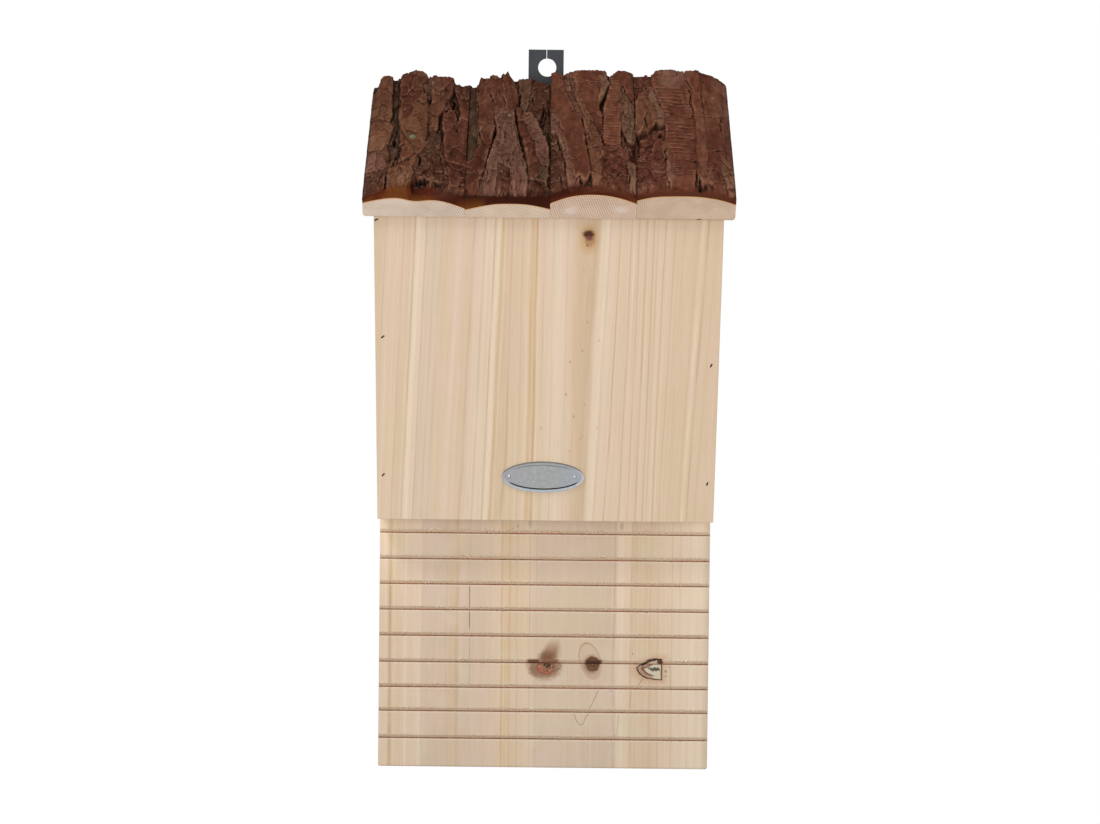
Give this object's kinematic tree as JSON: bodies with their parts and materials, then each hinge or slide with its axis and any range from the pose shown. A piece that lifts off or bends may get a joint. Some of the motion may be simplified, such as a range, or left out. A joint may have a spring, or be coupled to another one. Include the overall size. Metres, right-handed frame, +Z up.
{
  "type": "bat box",
  "caption": "Wooden wall-hung bat box: grooved landing board, front panel leaning out to a roof of bark-covered slabs, open slot below, steel hanging strap.",
  "frame": {"origin": "centre of the strap's hanging hole, on the strap's rear face, which lies against the wall", "axes": "+Z up, +Y towards the wall, +X to the right as seen from the front"},
  "size_m": [0.2174, 0.1198, 0.4465],
  "materials": {
    "wood": "planed bare softwood",
    "slab_wood": "sawn bare softwood",
    "bark": "rough bark",
    "strap_steel": "matt dark grey",
    "fastener_steel": "dull",
    "plate_metal": "satin"
  },
  "bodies": {
    "root": {"back_board": "wood", "front_panel": "wood", "side_panel_left": "wood", "side_panel_right": "wood", "roof_slab_1": "slab_wood", "roof_slab_2": "slab_wood", "roof_slab_3": "slab_wood", "roof_slab_4": "slab_wood", "roof_bark_1": "bark", "roof_bark_2": "bark", "roof_bark_3": "bark", "roof_bark_4": "bark", "hanger_strap": "strap_steel", "hanger_screws": "fastener_steel", "front_brads": "fastener_steel", "nameplate": "plate_metal", "nameplate_pins": "plate_metal", "roof_nails": "fastener_steel", "back_nails": "fastener_steel"}
  },
  "joints": []
}
